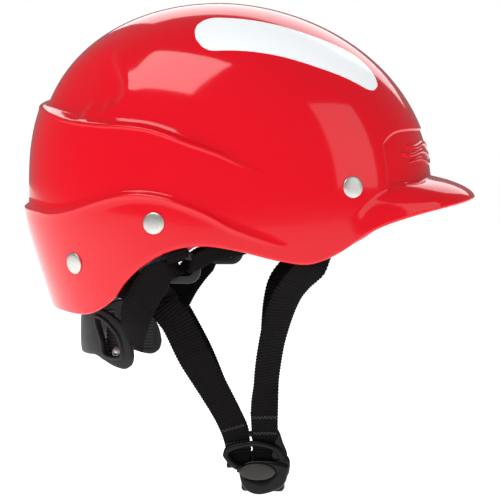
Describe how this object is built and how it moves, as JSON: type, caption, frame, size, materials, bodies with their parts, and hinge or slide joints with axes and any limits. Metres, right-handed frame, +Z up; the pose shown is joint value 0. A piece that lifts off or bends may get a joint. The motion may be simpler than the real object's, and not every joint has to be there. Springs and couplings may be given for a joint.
{
  "type": "whitewater helmet",
  "caption": "Water-sports helmet: a gloss shell with a short brim, foam liner, riveted webbing, a tilting nape brace and a buckled chin harness.",
  "frame": {"origin": "middle of the crown pad's flat underside, where the wearer's head bears", "axes": "+X forward over the brim, +Y the wearer's left, +Z up"},
  "size_m": [0.2822, 0.2128, 0.3065],
  "materials": {
    "shell_red": "moulded and polished, high gloss",
    "foam_black": "closed-cell foam, matte",
    "pad_black": "foam padding with a knitted face",
    "decal_silver": "retroreflective film",
    "rivet_metal": "domed and satin",
    "washer_metal": "plain",
    "webbing_black": "woven nylon webbing with cross ribs",
    "hardware_grey": "moulded acetal, fine texture",
    "button_grey": "moulded acetal, satin"
  },
  "bodies": {
    "helmet": {"outer_shell": "shell_red", "foam_liner": "foam_black", "crown_pad": "pad_black", "brow_pad": "pad_black", "side_pad_right": "pad_black", "side_pad_left": "pad_black", "rear_pad": "pad_black", "reflective_decal_right": "decal_silver", "reflective_decal_left": "decal_silver", "rivet_front_right": "rivet_metal", "rivet_washer_front_right": "washer_metal", "rivet_middle_right": "rivet_metal", "rivet_washer_middle_right": "washer_metal", "rivet_rear_right": "rivet_metal", "rivet_washer_rear_right": "washer_metal", "front_anchor_right": "webbing_black", "rear_anchor_right": "webbing_black", "ring_anchor_right": "webbing_black", "side_strap_right": "webbing_black", "brace_strap_right": "webbing_black", "adjuster_ring_right": "hardware_grey", "rivet_front_left": "rivet_metal", "rivet_washer_front_left": "washer_metal", "rivet_middle_left": "rivet_metal", "rivet_washer_middle_left": "washer_metal", "rivet_rear_left": "rivet_metal", "rivet_washer_rear_left": "washer_metal", "front_anchor_left": "webbing_black", "rear_anchor_left": "webbing_black", "ring_anchor_left": "webbing_black", "side_strap_left": "webbing_black", "brace_strap_left": "webbing_black", "adjuster_ring_left": "hardware_grey"},
    "rear_brace": {"rear_brace": "hardware_grey", "brace_pad": "pad_black", "brace_hanger_right": "webbing_black", "brace_hanger_left": "webbing_black", "brace_stud_right": "rivet_metal", "brace_stud_left": "rivet_metal", "brace_strip_right": "hardware_grey", "brace_strip_left": "hardware_grey"},
    "right_harness": {"buckle_housing": "hardware_grey", "front_strap_right": "webbing_black", "rear_strap_right": "webbing_black"},
    "release_button": {"release_button": "button_grey"},
    "left_harness": {"strap_divider": "hardware_grey", "front_strap_left": "webbing_black", "rear_strap_left": "webbing_black"},
    "chin_web": {"chin_web": "webbing_black", "buckle_tongue": "hardware_grey"},
    "strap_keeper": {"strap_keeper": "hardware_grey"}
  },
  "joints": [
    {"name": "right_harness_swing", "type": "hinge", "parent": "helmet", "child": "right_harness", "pos_m": [0.057, -0.0815, -0.1372], "axis": [-0.977, 0.0422, -0.2091], "range_deg": [0, 35]},
    {"name": "left_harness_swing", "type": "hinge", "parent": "helmet", "child": "left_harness", "pos_m": [0.043, 0.084, -0.1374], "axis": [0.9687, -0.0517, 0.2426], "range_deg": [0, 35]},
    {"name": "chin_web_swing", "type": "hinge", "parent": "left_harness", "child": "chin_web", "pos_m": [0.008, 0.047, -0.2776], "axis": [1, 0, 0], "range_deg": [0, 50]},
    {"name": "strap_keeper_slide", "type": "slide", "parent": "chin_web", "child": "strap_keeper", "axis": [-0.2098, 0.9727, -0.0992], "range_m": [-0.002, 0.006]},
    {"name": "release_button_press", "type": "slide", "parent": "right_harness", "child": "release_button", "axis": [0, 1, 0], "range_m": [0, 0.0012], "stiffness_N_per_m": 800},
    {"name": "rear_brace_tilt", "type": "hinge", "parent": "helmet", "child": "rear_brace", "pos_m": [-0.093, 0, -0.157], "axis": [0, -1, 0], "range_deg": [0, 12], "deforming": ["brace_strap_right", "brace_strap_left"]}
  ]
}
